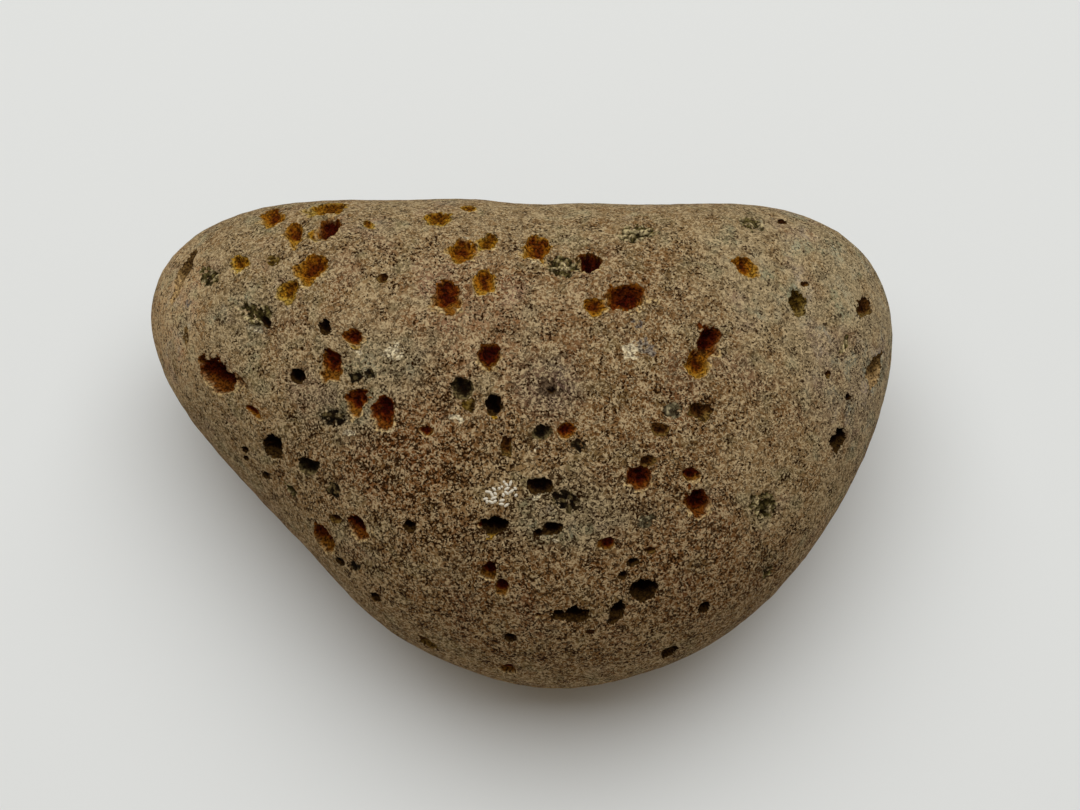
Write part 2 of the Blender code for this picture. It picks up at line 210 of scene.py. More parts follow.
# Pits too small for the solid
SMALL_PITS = (
    Mark(px=315, py=235, long=1.4, wide=1.1, deep=0.4, lining="gold"),
    Mark(px=369, py=225, long=1.1, wide=0.6, deep=0.2, turn=-35, lining="gold"),
    Mark(px=203, py=362, long=1.2, wide=0.7, deep=0.5, turn=-45, lining="rust"),
    Mark(px=356, py=345, long=1, wide=0.6, deep=0.3, turn=-30, lining="gold"),
    Mark(px=485, py=272, long=0.9, wide=0.5, deep=0.3, lining="crystal"),
    Mark(px=325, py=326, long=1.5, wide=1, deep=0.7, turn=-75, lining="painted_shade_black"),
    Mark(px=538, py=533, long=0.9, wide=0.7, deep=0.4, lining="painted_shade_black"),
    Mark(px=612, py=621, long=0.8, wide=0.6, deep=0.4, lining="painted_shade_black"),
    Mark(px=510, py=638, long=1, wide=0.9, deep=0.6, lining="painted_shade_black"),
    Mark(px=376, py=597, long=1.1, wide=0.8, deep=0.5, turn=-40, lining="painted_shade_black"),
    Mark(px=340, py=561, long=0.9, wide=0.7, deep=0.4, turn=-45, lining="painted_shade_black"),
    Mark(px=633, py=562, long=1.3, wide=0.8, deep=0.4, turn=10, lining="painted_shade_black"),
    Mark(px=623, py=575, long=0.8, wide=0.6, deep=0.3, turn=40, lining="painted_shade_black"),
    Mark(px=245, py=450, long=0.8, wide=0.7, deep=0.4, lining="painted_shade_black"),
    Mark(px=246, py=458, long=0.6, wide=0.5, deep=0.3, lining="painted_shade_black"),
    Mark(px=266, py=475, long=0.7, wide=0.6, deep=0.3, lining="painted_shade_black"),
    Mark(px=383, py=278, long=1.2, wide=0.9, deep=0.4, turn=-70, lining="brown"),
    Mark(px=552, py=390, long=0.8, wide=0.6, deep=0.4, lining="painted_shade_black"),
    Mark(px=804, py=284, long=0.7, wide=0.5, deep=0.3, lining="brown"),
    Mark(px=828, py=375, long=0.8, wide=0.5, deep=0.3, turn=80, lining="brown"),
    Mark(px=848, py=397, long=0.7, wide=0.5, deep=0.3, lining="painted_shade_black"),
    Mark(px=650, py=551, long=0.8, wide=0.6, deep=0.4, lining="brown"),
    Mark(px=427, py=431, long=1.2, wide=0.9, deep=0.4, lining="maroon"),
    Mark(px=506, py=447, long=1.7, wide=1.1, deep=0.5, turn=90, lining="brown"),
    Mark(px=501, py=588, long=1.3, wide=1, deep=0.4, turn=90, lining="maroon"),
    Mark(px=508, py=669, long=1.3, wide=1.1, deep=0.5, lining="maroon"),
    Mark(px=335, py=519, long=1, wide=0.8, deep=0.4, lining="brown"),
    Mark(px=782, py=222, long=0.8, wide=0.5, deep=0.3, lining="brown"),
    Mark(px=538, py=615, long=0.6, wide=0.5, deep=0.3, lining="maroon"),
    Mark(px=660, py=430, long=1.3, wide=1.2, deep=0.4, lining="brown"),
    Mark(px=691, py=474, long=1.5, wide=1, deep=0.5, lining="maroon"),
    Mark(px=607, py=544, long=1.2, wide=1.1, deep=0.4, lining="maroon"),
    Mark(px=253, py=411, long=1.5, wide=0.6, deep=0.3, turn=-40, lining="rust"),
    Mark(px=469, py=209, long=1.5, wide=0.9, deep=0.3, lining="gold"),
    Mark(px=266, py=322, long=1.5, wide=0.8, deep=0.6, turn=-60, lining="painted_shade_black"),
    Mark(px=484, py=525, long=0.8, wide=0.7, deep=0.3, lining="maroon"),
    Mark(px=559, py=615, long=1.1, wide=0.8, deep=0.5, lining="painted_shade_black"),
)

# Shallow scars with a rough floor
SCARS = (
    Mark(px=186, py=336, long=2.8, wide=0.8, deep=0.2, turn=85, lining="tan"),
    Mark(px=273, py=261, long=1.5, wide=1.2, deep=0.12, lining="olive"),
    Mark(px=207, py=276, long=2.6, wide=2.2, deep=0.25, lining="green"),
    Mark(px=255, py=315, long=3.8, wide=2.8, deep=0.3, turn=-15, lining="green"),
    Mark(px=333, py=418, long=2.6, wide=2.2, deep=0.3, lining="crystal"),
    Mark(px=355, py=377, long=1.5, wide=1.1, deep=0.2, lining="crystal"),
    Mark(px=370, py=374, long=1.3, wide=1.1, deep=0.2, turn=40, lining="crystal"),
    Mark(px=468, py=405, long=1.8, wide=1.3, deep=0.15, lining="olive"),
    Mark(px=333, py=490, long=2, wide=1.6, deep=0.25, lining="crystal"),
    Mark(px=578, py=445, long=1.8, wide=1.4, deep=0.2, lining="crystal"),
    Mark(px=565, py=500, long=3.4, wide=2.2, deep=0.25, turn=-20, lining="crystal"),
    Mark(px=355, py=567, long=1.5, wide=1.2, deep=0.2, lining="crystal"),
    Mark(px=672, py=410, long=2.4, wide=1.8, deep=0.2, lining="grey"),
    Mark(px=563, py=266, long=3.4, wide=2.3, deep=0.35, turn=-10, lining="green"),
    Mark(px=637, py=232, long=4.4, wide=2.2, deep=0.35, turn=5, lining="green"),
    Mark(px=752, py=223, long=3, wide=1.5, deep=0.35, turn=-25, lining="green"),
    Mark(px=765, py=508, long=3.3, wide=2.8, deep=0.4, turn=60, lining="green"),
    Mark(px=845, py=343, long=2.8, wide=0.8, deep=0.3, turn=68, lining="green"),
    Mark(px=290, py=490, long=2.6, wide=0.7, deep=0.3, turn=-55, lining="green"),
    Mark(px=768, py=572, long=1.8, wide=1.3, deep=0.3, turn=60, lining="green"),
    Mark(px=591, py=633, long=1.1, wide=0.8, deep=0.2, lining="brown"),
    Mark(px=645, py=522, long=2.2, wide=1.4, deep=0.15, turn=30, lining="grey"),
)

# Marks that are only colour
STAINS = (
    Mark(px=549, py=388, long=4.4, wide=3.6, lining="dusk"),
    Mark(px=389, py=428, long=1.4, wide=0.7, turn=-10, lining="cream"),
    Mark(px=495, py=417, long=1.3, wide=0.7, lining="ochre"),
    Mark(px=490, py=538, long=1.3, wide=0.7, lining="ochre"),
    Mark(px=556, py=541, long=1.2, wide=0.7, lining="cream"),
    Mark(px=488, py=367, long=1.4, wide=0.8, lining="ochre"),
    Mark(px=535, py=498, long=1.8, wide=0.5, turn=15, lining="cream"),
    Mark(px=535, py=450, long=1.8, wide=0.7, turn=35, lining="cream"),
    Mark(px=466, py=238, long=1.4, wide=0.6, lining="cream"),
    Mark(px=537, py=262, long=1.8, wide=0.5, lining="cream"),
    Mark(px=240, py=273, long=1, wide=0.5, turn=-20, lining="cream"),
    Mark(px=630, py=352, long=2.8, wide=2.2, lining="cream"),
    Mark(px=393, py=353, long=3.2, wide=2.6, lining="cream"),
    Mark(px=359, py=352, long=1.4, wide=0.8, turn=-30, lining="cream"),
    Mark(px=258, py=330, long=2.6, wide=1, turn=-10, lining="cream"),
    Mark(px=349, py=433, long=2, wide=0.9, turn=10, lining="cream"),
    Mark(px=455, py=418, long=2.2, wide=1, turn=-20, lining="cream"),
    Mark(px=635, py=322, long=2.2, wide=1.4, turn=-30, lining="blue"),
    Mark(px=647, py=346, long=2.8, wide=1.8, turn=-60, lining="blue"),
    Mark(px=190, py=303, long=1.6, wide=1.2, lining="blue"),
    Mark(px=285, py=309, long=1.5, wide=0.9, turn=10, lining="blue"),
)

# Blades of white mineral: where each is seen, its length, and the turn of its length from level
Blade = namedtuple("Blade", "px py long turn")
WHITE_BLADES = (
    Blade(px=504, py=481.8, long=0.3, turn=0),
    Blade(px=506.5, py=484.7, long=0.55, turn=-45),
    Blade(px=510.6, py=483.1, long=0.65, turn=73),
    Blade(px=507, py=488.6, long=0.65, turn=23),
    Blade(px=506.5, py=492.8, long=0.6, turn=-40),
    Blade(px=511.3, py=491.3, long=0.75, turn=35),
    Blade(px=515.3, py=488.4, long=0.4, turn=-40),
    Blade(px=516, py=495.2, long=0.4, turn=45),
    Blade(px=503.4, py=494.9, long=0.45, turn=-80),
    Blade(px=502, py=486.8, long=0.3, turn=-50),
    Blade(px=499.3, py=488.4, long=0.35, turn=-80),
    Blade(px=494, py=489, long=0.55, turn=-40),
    Blade(px=495.4, py=493.6, long=0.45, turn=-45),
    Blade(px=488.5, py=491.8, long=0.8, turn=-8),
    Blade(px=492, py=494.7, long=0.65, turn=-60),
    Blade(px=493.8, py=498, long=0.75, turn=20),
    Blade(px=485.6, py=498.8, long=0.55, turn=10),
    Blade(px=487, py=501.5, long=0.45, turn=90),
    Blade(px=491, py=502, long=0.65, turn=-25),
    Blade(px=494.7, py=501.5, long=0.55, turn=30),
    Blade(px=502, py=500.3, long=0.6, turn=12),
    Blade(px=501.5, py=504, long=0.6, turn=-5),
    Blade(px=506.5, py=505.2, long=0.6, turn=35),
)
BLADE_WIDTH = 0.3
BLADE_THICKNESS = 0.26
WHITE_MINERAL = (0.63, 0.57, 0.45, 1)
MINERAL_ROUGHNESS = 0.5

# The stone's own colour, and the broad patches where it differs: middle as seen, reach across and upward,
# strength and colour. Most are its own tones, but the wide dark brown patch over the lower part is painted
# shade, and the pale patches on the left and right limbs are painted light
STONE = (0.222, 0.131, 0.052)
Patch = namedtuple("Patch", "px py across upward strength colour", defaults=(None,))
PALE_OLIVE = (0.275, 0.19, 0.09)
PALE_GREY = (0.31, 0.245, 0.135)
GREY_GREEN = (0.175, 0.145, 0.08)
PAINTED_LIGHT_LEFT_LIMB = (0.46, 0.3, 0.145)
PAINTED_LIGHT_RIGHT_LIMB = (0.37, 0.29, 0.17)
MAUVE = (0.235, 0.175, 0.115)
DUSK = (0.12, 0.078, 0.052)
DARK_BROWN_AND_PAINTED_SHADE = (0.155, 0.076, 0.024)
PLUM = (0.235, 0.122, 0.058)
RUSTY_BROWN = (0.13, 0.045, 0.01)
PATCHES = (
    Patch(px=225, py=300, across=11, upward=11, colour=PALE_OLIVE, strength=0.95),
    Patch(px=820, py=290, across=12, upward=13, colour=PALE_GREY, strength=0.85),
    Patch(px=560, py=215, across=30, upward=3.5, colour=PALE_OLIVE, strength=0.6),
    Patch(px=630, py=345, across=18, upward=9, colour=DARK_BROWN_AND_PAINTED_SHADE, strength=0.3),
    Patch(px=760, py=480, across=8, upward=12, colour=PALE_OLIVE, strength=0.45),
    Patch(px=470, py=330, across=13, upward=9, colour=PLUM, strength=0.7),
    Patch(px=400, py=460, across=10, upward=8, colour=RUSTY_BROWN, strength=0.9),
    Patch(px=690, py=550, across=10, upward=8, colour=RUSTY_BROWN, strength=0.85),
    Patch(px=535, py=585, across=12, upward=7, colour=RUSTY_BROWN, strength=0.75),
    # Painted light: the left and right limbs painted paler, as grazing light and the floor's bounce brighten
    # them
    Patch(px=172, py=310, across=4, upward=10, colour=PAINTED_LIGHT_LEFT_LIMB, strength=0.95),
    Patch(px=885, py=345, across=3.5, upward=9, colour=PAINTED_LIGHT_RIGHT_LIMB, strength=0.7),
    # Painted shade: the lower part, which faces away from the light beyond, painted darker
    Patch(px=540, py=590, across=27, upward=12, colour=DARK_BROWN_AND_PAINTED_SHADE, strength=0.75),
    Patch(px=640, py=415, across=18, upward=10, colour=DARK_BROWN_AND_PAINTED_SHADE, strength=0.8),
    Patch(px=310, py=330, across=6, upward=5, colour=RUSTY_BROWN, strength=0.3),
    Patch(px=250, py=315, across=5, upward=4, colour=GREY_GREEN, strength=0.4),
    Patch(px=385, py=360, across=6.5, upward=4.5, colour=GREY_GREEN, strength=0.85),
    Patch(px=340, py=410, across=4.5, upward=4, colour=GREY_GREEN, strength=0.75),
    Patch(px=505, py=425, across=6, upward=4, colour=RUSTY_BROWN, strength=0.3),
    Patch(px=850, py=400, across=5, upward=8, colour=MAUVE, strength=0.6),
    Patch(px=545, py=388, across=4, upward=3.5, colour=DUSK, strength=0.75),
    Patch(px=575, py=515, across=9, upward=4.5, colour=GREY_GREEN, strength=0.7),
)

# Patches where the grain is fainter, with a strength below 0, or its gaps are deeper, with one above 0. The
# two with deeper gaps lie on the lower part and darken it, partly as painted shade
GRAIN_PATCHES = (
    Patch(px=215, py=290, across=9, upward=10, strength=-0.1),
    Patch(px=830, py=300, across=10, upward=13, strength=-0.1),
    Patch(px=560, py=210, across=32, upward=3, strength=-0.15),
    Patch(px=410, py=460, across=15, upward=13, strength=0.55),
    Patch(px=600, py=570, across=26, upward=15, strength=0.5),
)

# A patch fades out between these shares of its reach, its edge is ragged by noise of this strength and size,
# and it ends where the skin turns away from the eye, between these values of their cosine
PATCH_FADE = (1.3, 0.2)
PATCH_WARP = (0.35, 6.0)
PATCH_FACING = (-0.15, 0.3)

# The stone's slow drift of colour: its size, where it turns olive or rusty, and how far
TONE_DRIFT = 9.0
OLIVE_FROM = (0.0, 0.5)
OLIVE_SHARE = 0.5
RUSTY_FROM = (0.1, 0.6)
RUSTY_SHARE = 0.35

# Pits on the far side and the underside, which the picture doesn't show, as the solid has them: how many
# places are tried, how high they start as a share of a ball's radius, how little such a place may face the
# eye, how far it must be from other pits, their sizes, and the middle of the resting flat, which is whole
HIDDEN_TRIES = 420
HIDDEN_SEED = 11
HIDDEN_TOP = 0.5
HIDDEN_FACING = 0.12
HIDDEN_SPACING = (6.5, 11.0)
HIDDEN_LENGTH = (1.3, 3.2)
HIDDEN_BREADTH_SHARE = (0.6, 0.95)
HIDDEN_DEPTH_SHARE = (0.35, 0.7)
REST_PATCH = 11.0
HIDDEN_LININGS = ("rust", "painted_shade_black", "amber", "painted_shade_black", "maroon", "gold", "brown", "olive")
SCAR_LININGS = ("crystal", "green", "grey")

# Small pits between them, and scars: how many places are tried, how many of the marks are pits, and sizes
SMALL_TRIES = 900
SMALL_SEED = 23
SMALL_SPACING = (2.6, 5.0)
SMALL_PIT_SHARE = 0.75
SMALL_LENGTH = (0.6, 1.5)
SMALL_BREADTH_SHARE = (0.6, 1.0)
SMALL_DEPTH_SHARE = 0.45
SCAR_LENGTH = (1.1, 2.7)
SCAR_DEPTH = 0.2

# A pit's wall drops this share of its depth at the rim, over this share of its size to either side
PIT_SINK = 0.25
RIM_SOFTNESS = 0.07

# How ragged a mark's outline is: strength and size of each layer of noise, and how much larger than its
# named size that can make it
WARP = ((0.4, 1.3), (0.25, 0.55), (0.12, 0.28))
WARPED_REACH = 1.6

# How rough a mark's floor is: the size of its lumps, how much they change a pit's depth and from where
# inside it, and a scar's depth as a middle share of its own and the lumps' part in it, with the most
LUMP = 0.42
PIT_LUMPS = 0.35
PIT_LUMPS_FROM = (0, 0.5)
SCAR_LUMPS = (0.6, 1.6)
SCAR_DEEPEST = 1.8

# Painted shade in a pit's lining: how much darker it is painted where its lumpy floor sinks deeper, and
# towards the far wall, which faces away from the light beyond
DEEP_FLOOR_PAINTED_SHADE = 0.45
FAR_WALL_PAINTED_SHADE = 0.5

# Where each kind of noise is read, so that no two have the same pattern
PATTERNS = {"tone": 2.0, "scar": 3.0, "pit": 5.0, "patch": 9.0}

# The way that is farther from the eye, as a turn from level: the pits' linings are painted darker on that
# side, as painted shade on the wall that faces away from the light beyond
FAR_WAY = 90.0

# Near the pebble's rim a mark is drawn out along the sight, so that it looks its size, up to this much
MOST_DRAWN_OUT = 1.8

# How much of a mark's lining shows between the crumbs of the stone: all of it in a pit, and part of it in a
# scar, a stain or the halo round a rusty pit
FULL = 1.5
SCATTERED = 0.74
FAINT = 0.58
HALO = 0.48

# Where each of these starts and where it is in full, and a scar's depth too, in shares of the mark's size
PIT_EDGE = (1.1, 0.92)
SCAR_EDGE = (1.3, 0.5)
SCAR_DEPTH_EDGE = (1.1, 0.75)
STAIN_EDGE = (1.3, 0.3)
HALO_EDGE = (1.45, 1.0)

# The pale crumbs in the halo, which on the near lip are partly a painted highlight where the wall faces the
# light, and where they start and are in full from the far side to the near one
PALE_LIP_AND_HIGHLIGHT = (0.38, 0.28, 0.13)
LIP_EDGE = (0.7, -0.7)


def outline_reach():
    """The outline as a function: its distance from the pole against the direction from it."""
    points = np.array(OUTLINE) - np.array(POLE)
    waves = np.arange(1, OUTLINE_WAVES + 1)

    def terms(turn):
        turning = np.asarray(turn)[:, None] * waves
        return np.hstack([np.ones((len(turning), 1)), np.cos(turning), np.sin(turning)])

    turns = np.arctan2(points[:, 1], points[:, 0])
    weights = np.linalg.lstsq(terms(turns), np.hypot(*points.T), rcond=None)[0]
    return lambda turn: terms(turn) @ weights


def skin(directions):
    """The worn surface without its pits, one point for each direction out of the middle of the waist."""
    x, y, z = directions.T
    level = np.hypot(x, y)
    fullness = np.where(z > 0, DOME_FULLNESS, UNDERSIDE_FULLNESS)
    spread = level ** (2 / fullness) * outline_reach()(np.arctan2(y, x))
    rise = np.abs(z) ** (2 / fullness) * np.where(z > 0, CROWN, -KEEL)
    flat = np.maximum(level, TINY)
    points = np.column_stack([POLE.x + spread * x / flat, POLE.y + spread * y / flat, rise])
    points += directions * LUMP_HEIGHT * noise_at(points, LUMP_SIZE)[:, None]
    points[:, 2] = worn_flat(points[:, 2] + WAIST)
    return points


def worn_flat(height):
    """Heights with what is below the resting level worn off flat, and a soft edge to the flat."""
    soft = (height + WORN_EDGE) ** 2 / (4 * WORN_EDGE)
    return np.where(height > WORN_EDGE, height, np.where(height > -WORN_EDGE, soft, 0.0))


def noise_at(points, size, shift=0.0):
    """Smooth noise from -1 to 1 at each point, with lumps of about this size."""
    moved = Vector((shift, 0, 0))
    return np.array([noise.noise(Vector(point) / size + moved) for point in points])


def smooth_step(low, high, values):
    """0 below the low end, 1 above the high end, and an easy curve between."""
    share = np.clip((values - low) / (high - low), 0, 1)
    return share * share * (3 - 2 * share)


def evened(point):
    """A point of the cube moved along its face, so that the ball made of it has faces of one size."""
    return Vector(math.tan(side * math.pi / 4) for side in point)


def ball(cuts):
    """A ball of radius 1, blown up from a cube with this many cuts across each face."""
    mesh = bmesh.new()
    bmesh.ops.create_cube(mesh, size=2.0)
    bmesh.ops.subdivide_edges(mesh, edges=mesh.edges, cuts=cuts, use_grid_fill=True)
    for vertex in mesh.verts:
        vertex.co = evened(vertex.co).normalized()
    return mesh


def points_of(mesh):
    """Where the vertices of this mesh are."""
    return np.array([vertex.co for vertex in mesh.verts])


def move_to(mesh, points):
    """Puts the vertices of this mesh at these points."""
    for vertex, point in zip(mesh.verts, points):
        vertex.co = point


class Body:
    """The worn body as the solid has it: how directions become points, and a tree to cast rays at."""

    def __init__(self):
        mesh = ball(BODY_CUTS)
        points = skin(points_of(mesh))
        self.middle = (points.min(axis=0) + points.max(axis=0)) / 2
        self.middle[2] = 0.0
        to_length = LENGTH / np.ptp(points[:, 0])
        self.stretch = np.array((to_length, to_length, 1.0))
        move_to(mesh, (points - self.middle) * self.stretch)
        mesh.normal_update()
        self.tree = BVHTree.FromBMesh(mesh)
        mesh.free()

    def points(self, directions):
        return (skin(directions) - self.middle) * self.stretch


def sight_axes():
    """Right, up and towards the eye, as unit vectors, and the point that the picture's centre looks at."""
    right = Vector((1, 0, 0))
    up = Vector((0, math.sin(EYE_ELEVATION), math.cos(EYE_ELEVATION)))
    back = Vector((0, -math.cos(EYE_ELEVATION), math.sin(EYE_ELEVATION)))
    aim = Vector((0, 0, WAIST)) + PICTURE_CENTRE[0] * right + PICTURE_CENTRE[1] * up
    return right, up, back, aim


def seen_at(tree, px, py):
    """The point of the skin that is seen at a pixel of the picture, and its outward normal."""
    right, up, back, aim = sight_axes()
    eye = aim + EYE_DISTANCE * back
    across = (px - PICTURE_PIXELS[0] / 2) * PIXEL
    upward = (PICTURE_PIXELS[1] / 2 - py) * PIXEL
    on_plane = aim + across * right + upward * up
    point, normal, *_ = tree.ray_cast(eye, on_plane - eye)
    return point, normal


def seen_way(turn):
    """The way across the picture at this turn from level."""
    right, up, *_ = sight_axes()
    return math.cos(math.radians(turn)) * right + math.sin(math.radians(turn)) * up


def along(turn, normal):
    """The direction on the skin that is seen at this turn from level."""
    seen = seen_way(turn)
    return (seen - seen.dot(normal) * normal).normalized()


def drawn_place(tree, draw):
    """A place on the skin in a direction drawn from the hidden ones, and its outward normal."""
    rise = draw.uniform(-1, HIDDEN_TOP)
    turn = draw.uniform(0, math.tau)
    level = math.sqrt(1 - rise * rise)
    way = Vector((level * math.cos(turn), level * math.sin(turn), rise))
    point, normal, *_ = tree.ray_cast(Vector((POLE.x, POLE.y, WAIST)), way)
    return point, normal


def is_free(point, normal, taken, spacing):
    """Whether a place faces away from the eye and lies this far from all those already taken."""
    faces_away = normal.dot(sight_axes()[2]) < HIDDEN_FACING
    return faces_away and min((point - other).length for other in taken) > spacing


def hidden_pits(tree):
    """The pits that face away from the eye, spread evenly over the skin."""
    draw = random.Random(HIDDEN_SEED)
    taken = [seen_at(tree, mark.px, mark.py)[0] for mark in BIG_PITS]
    for _ in range(HIDDEN_TRIES):
        point, normal = drawn_place(tree, draw)
        long = draw.uniform(*HIDDEN_LENGTH)
        wide = long * draw.uniform(*HIDDEN_BREADTH_SHARE)
        deep = wide * draw.uniform(*HIDDEN_DEPTH_SHARE)
        spin = draw.uniform(0, 180)
        spacing = draw.uniform(*HIDDEN_SPACING)
        at_rest = point.z < WAIST and Vector((point.x, point.y)).length < REST_PATCH
        if is_free(point, normal, taken, spacing) and not at_rest:
            taken.append(point)
            lining = HIDDEN_LININGS[len(taken) % len(HIDDEN_LININGS)]
            yield point, normal, Mark(None, None, long, wide, lining, deep, spin)


def small_hidden_marks(tree, taken):
    """Small pits and scars between the places already taken, where the skin faces away from the eye."""
    draw = random.Random(SMALL_SEED)
    taken = list(taken)
    for _ in range(SMALL_TRIES):
        point, normal = drawn_place(tree, draw)
        if not is_free(point, normal, taken, draw.uniform(*SMALL_SPACING)):
            continue
        taken.append(point)
        kind = "pit" if draw.random() < SMALL_PIT_SHARE else "scar"
        long = draw.uniform(*(SMALL_LENGTH if kind == "pit" else SCAR_LENGTH))
        wide = long * draw.uniform(*SMALL_BREADTH_SHARE)
        deep = wide * SMALL_DEPTH_SHARE if kind == "pit" else SCAR_DEPTH
        lining = draw.choice(HIDDEN_LININGS if kind == "pit" else SCAR_LININGS)
        yield kind, point, normal, Mark(None, None, long, wide, lining, deep, draw.uniform(0, 180))


Placed = namedtuple("Placed", "kind point normal long_way cross_way mark")


def placed_marks(tree):
    """Every mark with its place on the skin: stains first and pits last, since later ones cover earlier."""
    found = [("stain", *seen_at(tree, mark.px, mark.py), mark) for mark in STAINS]
    found += [("scar", *seen_at(tree, mark.px, mark.py), mark) for mark in SCARS]
    hidden = list(hidden_pits(tree))
    found += small_hidden_marks(tree, [place[0] for place in hidden])
    found += [("pit", *place) for place in hidden]
    found += [("pit", *seen_at(tree, mark.px, mark.py), mark) for mark in SMALL_PITS + BIG_PITS]
    placed = []
    for kind, point, normal, mark in found:
        if mark.px is None:
            long_way = along(mark.turn, normal)
            cross_way = normal.cross(long_way)
        else:
            long_way = as_seen(mark.turn, normal)
            cross_way = as_seen(mark.turn + 90, normal)
        placed.append(Placed(kind, point, normal, long_way, cross_way, mark))
    return placed


def as_seen(turn, normal):
    """The way that measures, along the skin, how far a point is seen to lie at this turn."""
    seen = seen_way(turn)
    back = sight_axes()[2]
    downhill = (back - back.dot(normal) * normal).normalized()
    drawn_out = min(1 / max(back.dot(normal), LEAST_FACING), MOST_DRAWN_OUT)
    level_way = normal.cross(downhill)
    return seen.dot(level_way) * level_way + steep_part(seen, downhill) * downhill / drawn_out


def steep_part(seen, downhill):
    """How much of a seen way runs down the skin, away from the eye's own line."""
    back = sight_axes()[2]
    flat = (downhill - downhill.dot(back) * back).normalized()
    return seen.dot(flat)


def halve_round(mesh, body, placed, margin):
    """Halves the edges of the faces that lie within a margin of any mark."""
    points = body.points(points_of(mesh))
    mesh.faces.ensure_lookup_table()
    corners = [[corner.index for corner in face.verts] for face in mesh.faces]
    middles = np.array([points[corner].mean(axis=0) for corner in corners])
    near = np.zeros(len(middles), bool)
    for spot in placed:
        half_long = spot.mark.long / 2 / spot.long_way.length
        half_wide = spot.mark.wide / 2 / spot.cross_way.length
        reach = max(half_long, half_wide) + margin
        near |= np.linalg.norm(middles - np.array(spot.point), axis=1) < reach
    edges = {edge for index in np.nonzero(near)[0] for edge in mesh.faces[index].edges}
    bmesh.ops.subdivide_edges(mesh, edges=list(edges), cuts=1, use_grid_fill=True)
    for vertex in mesh.verts:
        vertex.co.normalize()
    mesh.verts.index_update()


def relief(points):
    """Height of the worn grain at each point of the open skin."""
    height = np.zeros(len(points))
    for rise, size in RELIEF:
        height += rise * noise_at(points, size)
    return height


def mix(first, second, share):
    """Colours part of the way from the first to the second."""
    return first + (second - first) * share[:, None]


def lining_colours(lining, depth):
    """The lining's colour from its rim, where the depth is 0, to its floor, where it is 1: darker towards
    the floor, partly as painted shade.
    """
    rim, wall, floor = (np.array(colour)[None, :] for colour in lining)
    upper = mix(rim, wall, smooth_step(*WALL_DEPTH, depth))
    return mix(upper, floor, smooth_step(*FLOOR_DEPTH, depth))


class Carving:
    """What the marks do to the skin: how deep each vertex sinks, which way, and what lines it."""

    def __init__(self, points):
        self.points = points
        self.depth = np.zeros(len(points))
        self.way = np.zeros((len(points), 3))
        self.colour = np.zeros((len(points), 3))
        self.cover = np.zeros(len(points))

    def near(self, spot):
        """The vertices that a mark can reach, their distance from its middle in shares of its size, and how
        far each is to the side away from the eye."""
        half_long, half_wide = spot.mark.long / 2, spot.mark.wide / 2
        offset = self.points - np.array(spot.point)
        reach = half_long * MOST_DRAWN_OUT * WARPED_REACH
        index = np.nonzero((offset**2).sum(axis=1) < reach**2)[0]
        offset = offset[index]
        share = np.hypot(offset @ spot.long_way / half_long, offset @ spot.cross_way / half_wide)
        for strength, size in WARP:
            share *= 1 + strength * noise_at(self.points[index], size, shift=spot.mark.long)
        farther = offset @ along(FAR_WAY, spot.normal) / half_wide
        return index, share, farther

    def sink(self, index, depth, spot):
        deeper = depth > self.depth[index]
        self.depth[index[deeper]] = depth[deeper]
        self.way[index[deeper]] = -np.array(spot.normal)

    def paint(self, index, colour, cover):
        before = self.cover[index] * (1 - np.minimum(cover, 1))
        total = np.maximum(before + cover, LEAST_COVER)
        self.colour[index] = mix(self.colour[index], colour, cover / total)
        self.cover[index] = before + cover

    def stain(self, spot):
        index, share, _ = self.near(spot)
        colour = np.repeat([LININGS[spot.mark.lining].wall], len(index), axis=0)
        self.paint(index, colour, smooth_step(*STAIN_EDGE, share) * FAINT)

    def scar(self, spot):
        index, share, _ = self.near(spot)
        lumps = SCAR_LUMPS[0] + SCAR_LUMPS[1] * noise_at(self.points[index], LUMP, shift=PATTERNS["scar"])
        inside = smooth_step(*SCAR_DEPTH_EDGE, share)
        self.sink(index, spot.mark.deep * inside * np.clip(lumps, 0, SCAR_DEEPEST), spot)
        colour = lining_colours(LININGS[spot.mark.lining], np.clip(lumps, 0, 1))
        self.paint(index, colour, smooth_step(*SCAR_EDGE, share) * SCATTERED)

    def pit(self, spot):
        index, share, farther = self.near(spot)
        lumps = noise_at(self.points[index], LUMP, shift=PATTERNS["pit"])
        bowl = PIT_SINK + (1 - PIT_SINK) * np.sqrt(np.clip(1 - share**2, 0, 1))
        inside = smooth_step(1 + RIM_SOFTNESS, 1 - RIM_SOFTNESS, share)
        rough = 1 + PIT_LUMPS * lumps * smooth_step(*PIT_LUMPS_FROM, inside)
        self.sink(index, spot.mark.deep * bowl * inside * rough, spot)
        # Rust stain round the pit, paler and stronger on the near lip: partly pale crumbs, partly a painted
        # highlight
        if spot.mark.lining in RUSTY:
            nearer = smooth_step(*LIP_EDGE, farther)
            halo = mix(np.array([LININGS[spot.mark.lining].rim]), np.array([PALE_LIP_AND_HIGHLIGHT]), nearer)
            self.paint(index, halo, smooth_step(*HALO_EDGE, share) * HALO * (1 + nearer))
        # Painted shade: the lining is painted darker towards the middle, where the lumpy floor is deeper,
        # and towards the far wall
        deep = np.clip(1.0 - share + DEEP_FLOOR_PAINTED_SHADE * lumps + FAR_WALL_PAINTED_SHADE * farther, 0, 1)
        colour = lining_colours(LININGS[spot.mark.lining], deep)
        self.paint(index, colour, smooth_step(*PIT_EDGE, share) * FULL)


def picture_place(points):
    """How far each point is seen from the picture's centre, across and upward."""
    right, up, back, aim = sight_axes()
    offset = points - np.array(aim + EYE_DISTANCE * back)
    nearer = EYE_DISTANCE / (-offset @ back)
    return offset @ right * nearer, offset @ up * nearer


